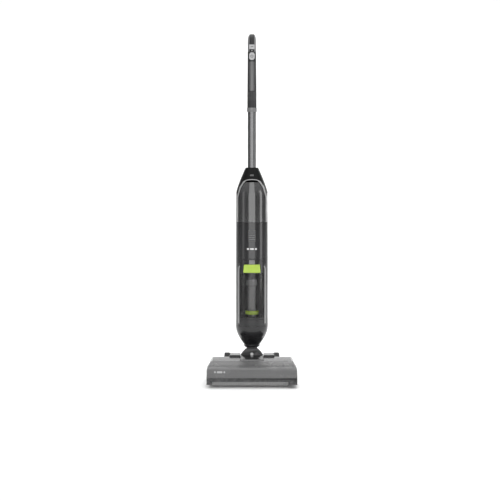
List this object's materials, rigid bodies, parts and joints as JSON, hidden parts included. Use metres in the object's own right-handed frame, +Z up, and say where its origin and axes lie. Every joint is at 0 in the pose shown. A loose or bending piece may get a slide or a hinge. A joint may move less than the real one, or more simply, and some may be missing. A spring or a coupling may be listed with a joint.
{
  "type": "wet dry floor scrubber",
  "caption": "Upright cordless wet and dry floor scrubber: powered roller head with lift-off cover, tilting neck, clean and dirty water tanks, tube handle.",
  "frame": {"origin": "on the floor at the middle of the bounding box", "axes": "+Z up, -Y front, +X right seen from the front"},
  "size_m": [0.28, 0.24, 1.1],
  "materials": {
    "charcoal_gloss": "glossy moulded ABS",
    "charcoal_satin": "fine-textured moulded ABS",
    "grey_plastic": "satin grey plastic",
    "light_trim": "light grey trim",
    "rubber_black": "soft black rubber",
    "tyre_rubber": "soft tread",
    "grip_rubber": "textured grip",
    "zinc_steel": "zinc plated steel",
    "alloy": "machined alloy",
    "smoked_clear": "smoked clear plastic",
    "tank_clear": "clear plastic, lightly smoked",
    "display_black": "display window",
    "microfibre": "grey microfibre pile",
    "tube_paint": "satin grey painted aluminium tube",
    "button_grey": "light grey button",
    "lime_plastic": "lime green plastic",
    "battery_blue": "wrapped cells",
    "board_green": "circuit board",
    "filter_media": "pleated filter"
  },
  "bodies": {
    "head": {"head_upper_housing": "charcoal_gloss", "neck_fairing": "charcoal_gloss", "head_lower_housing": "charcoal_satin", "wiper_bar": "grey_plastic", "squeegee_blade": "rubber_black", "suction_inlet_duct": "charcoal_satin", "spray_bar": "grey_plastic", "brush_motor": "zinc_steel", "drive_side_cover": "charcoal_gloss", "drive_belt": "rubber_black", "wheel_axles": "zinc_steel", "head_screws": "zinc_steel"},
    "brush_cover": {"brush_cover_window": "smoked_clear", "cover_bumper": "charcoal_satin"},
    "roller_cartridge": {"roller_end_cap": "charcoal_satin"},
    "roller": {"roller_core": "grey_plastic", "roller_sleeve": "microfibre"},
    "drive_hub": {"drive_hub": "charcoal_satin"},
    "motor_pulley": {"motor_pulley": "grey_plastic"},
    "wheel_right": {"wheel_hub_right": "charcoal_satin", "tyre_right": "tyre_rubber"},
    "wheel_left": {"wheel_hub_left": "charcoal_satin", "tyre_left": "tyre_rubber"},
    "neck_yoke": {"neck_yoke": "charcoal_satin", "neck_pins": "zinc_steel"},
    "upright": {"neck_hose": "rubber_black", "neck_bowl": "charcoal_gloss", "rear_shell": "charcoal_gloss", "front_panel": "charcoal_gloss", "display_lens": "display_black", "side_rails": "light_trim", "tank_surround": "light_trim", "shoulder_cap": "charcoal_satin", "inner_chassis": "charcoal_satin", "battery_pack": "battery_blue", "control_board": "board_green", "suction_motor": "zinc_steel", "water_pump": "grey_plastic", "water_tube": "rubber_black", "suction_duct": "charcoal_satin", "exhaust_grille": "charcoal_satin", "body_screws": "zinc_steel", "handle_tube": "tube_paint", "grip_collar": "charcoal_gloss", "grip_front": "charcoal_gloss", "grip_rear": "grip_rubber"},
    "impeller": {"impeller": "alloy"},
    "power_button": {"power_button": "button_grey"},
    "mode_button": {"mode_button": "button_grey"},
    "tank_button": {"tank_button": "button_grey"},
    "clean_tank": {"clean_tank": "smoked_clear", "clean_tank_valve": "rubber_black"},
    "dirty_tank": {"dirty_tank_bin": "tank_clear", "dirty_tank_base": "charcoal_gloss", "standpipe": "grey_plastic", "dirty_tank_lid": "charcoal_gloss", "lid_block": "lime_plastic", "filter_cartridge": "filter_media"},
    "tank_latch": {"tank_latch": "button_grey"},
    "float_ring": {"float_ring": "lime_plastic"}
  },
  "joints": [
    {"name": "upright_tilt", "type": "hinge", "parent": "head", "child": "neck_yoke", "pos_m": [0, 0.027, 0.062], "axis": [-1, 0, 0], "range_deg": [0, 60]},
    {"name": "neck_swivel", "type": "hinge", "parent": "neck_yoke", "child": "upright", "pos_m": [0, 0.027, 0.084], "axis": [0, 1, 0], "range_deg": [-25, 25], "deforming": ["neck_hose"]},
    {"name": "cover_lift", "type": "slide", "parent": "head", "child": "brush_cover", "axis": [0, 0, 1], "range_m": [0, 0.137]},
    {"name": "roller_pull", "type": "slide", "parent": "head", "child": "roller_cartridge", "axis": [-1, 0, 0], "range_m": [0, 0.26]},
    {"name": "roller_spin", "type": "hinge", "parent": "roller_cartridge", "child": "roller", "pos_m": [0, -0.083, 0.03], "axis": [1, 0, 0], "continuous": true},
    {"name": "drive_hub_spin", "type": "hinge", "parent": "head", "child": "drive_hub", "pos_m": [0.11, -0.083, 0.03], "axis": [1, 0, 0], "continuous": true},
    {"name": "motor_pulley_spin", "type": "hinge", "parent": "head", "child": "motor_pulley", "pos_m": [0.125, -0.012, 0.05], "axis": [1, 0, 0], "continuous": true},
    {"name": "wheel_right_spin", "type": "hinge", "parent": "head", "child": "wheel_right", "pos_m": [0.08, 0.082, 0.038], "axis": [1, 0, 0], "continuous": true},
    {"name": "wheel_left_spin", "type": "hinge", "parent": "head", "child": "wheel_left", "pos_m": [-0.08, 0.082, 0.038], "axis": [1, 0, 0], "continuous": true},
    {"name": "impeller_spin", "type": "hinge", "parent": "upright", "child": "impeller", "pos_m": [0, 0, 0.465], "axis": [0, 0, 1], "continuous": true},
    {"name": "power_button_press", "type": "slide", "parent": "upright", "child": "power_button", "axis": [0, 1, 0], "range_m": [0, 0.0012], "stiffness_N_per_m": 600},
    {"name": "mode_button_press", "type": "slide", "parent": "upright", "child": "mode_button", "axis": [0, 1, 0], "range_m": [0, 0.0012], "stiffness_N_per_m": 600},
    {"name": "tank_button_press", "type": "slide", "parent": "upright", "child": "tank_button", "axis": [0, 1, 0], "range_m": [0, 0.0015], "stiffness_N_per_m": 600},
    {"name": "clean_tank_pull", "type": "slide", "parent": "upright", "child": "clean_tank", "axis": [0, -1, 0], "range_m": [0, 0.12]},
    {"name": "dirty_tank_pull", "type": "slide", "parent": "upright", "child": "dirty_tank", "axis": [0, -1, 0], "range_m": [0, 0.13]},
    {"name": "tank_latch_press", "type": "slide", "parent": "dirty_tank", "child": "tank_latch", "axis": [0, 0, 1], "range_m": [0, 0.0015], "stiffness_N_per_m": 600},
    {"name": "float_rise", "type": "slide", "parent": "dirty_tank", "child": "float_ring", "axis": [0, 0, 1], "range_m": [0, 0.074]}
  ],
  "couplings": [
    {"joint": "drive_hub_spin", "follows": "roller_spin", "ratio": 1},
    {"joint": "motor_pulley_spin", "follows": "roller_spin", "ratio": 2}
  ]
}
